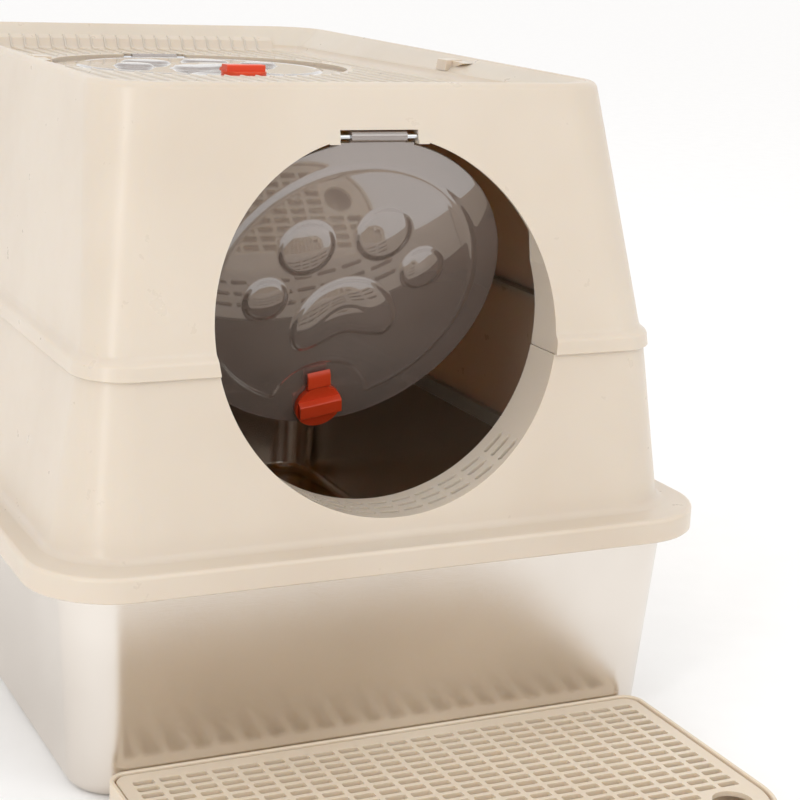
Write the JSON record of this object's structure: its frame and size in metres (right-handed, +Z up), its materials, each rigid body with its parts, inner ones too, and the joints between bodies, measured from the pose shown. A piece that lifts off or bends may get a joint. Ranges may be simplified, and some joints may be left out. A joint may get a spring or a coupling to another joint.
{
  "type": "hooded cat litter box",
  "caption": "Hooded cat litter box: steel pan, plastic enclosure with round tunnel and swinging smoked flap, top deck with hatch, slotted step in front.",
  "frame": {"origin": "on the floor, at the centre of the whole object's footprint, step included", "axes": "+X to the right seen from the front, +Y from the entrance to the back, +Z up"},
  "size_m": [0.42, 0.7882, 0.3916],
  "materials": {
    "steel": "satin, fine vertical draw lines",
    "cream_plastic": "satin moulded",
    "step_plastic": "satin moulded",
    "orange_plastic": "satin gloss",
    "smoked_plastic": "clear, smoke tinted, polished",
    "pin_steel": "drawn wire"
  },
  "bodies": {
    "pan": {"litter_pan": "steel"},
    "enclosure_base": {"lower_shell": "cream_plastic"},
    "enclosure_top": {"hood": "cream_plastic", "top_deck": "cream_plastic", "door_hinge_pin": "pin_steel", "hatch_hinge_pin": "pin_steel"},
    "door": {"front_door": "smoked_plastic"},
    "door_lock": {"door_knob": "orange_plastic", "door_knob_retainer": "orange_plastic"},
    "hatch": {"top_hatch": "smoked_plastic"},
    "hatch_lock": {"hatch_knob": "orange_plastic", "hatch_knob_retainer": "orange_plastic"},
    "step": {"step_tray": "step_plastic"},
    "step_cover": {"step_grate": "step_plastic"}
  },
  "joints": [
    {"name": "enclosure_lift", "type": "slide", "parent": "pan", "child": "enclosure_base", "axis": [0, 0, 1], "range_m": [0, 0.15]},
    {"name": "hood_lift", "type": "slide", "parent": "enclosure_base", "child": "enclosure_top", "axis": [0, 0, 1], "range_m": [0, 0.2]},
    {"name": "door_swing", "type": "hinge", "parent": "enclosure_top", "child": "door", "pos_m": [0, -0.16693, 0.362], "axis": [1, 0, 0], "range_deg": [-83.5, 50]},
    {"name": "door_lock_turn", "type": "hinge", "parent": "door", "child": "door_lock", "pos_m": [0, -0.09145, 0.1884], "axis": [0, -0.9171, -0.3987], "range_deg": [-11, 169]},
    {"name": "hatch_swing", "type": "hinge", "parent": "enclosure_top", "child": "hatch", "pos_m": [0, 0.23701, 0.37161], "axis": [-1, 0, 0], "range_deg": [0, 95]},
    {"name": "hatch_lock_turn", "type": "hinge", "parent": "hatch", "child": "hatch_lock", "pos_m": [0, 0.04773, 0.37435], "axis": [0, 0.0145, 0.9999], "range_deg": [0, 180]},
    {"name": "step_pull", "type": "slide", "parent": "pan", "child": "step", "axis": [0, -1, 0], "range_m": [0, 0.2]},
    {"name": "grate_lift", "type": "slide", "parent": "step", "child": "step_cover", "axis": [0, 0, 1], "range_m": [0, 0.06]}
  ]
}
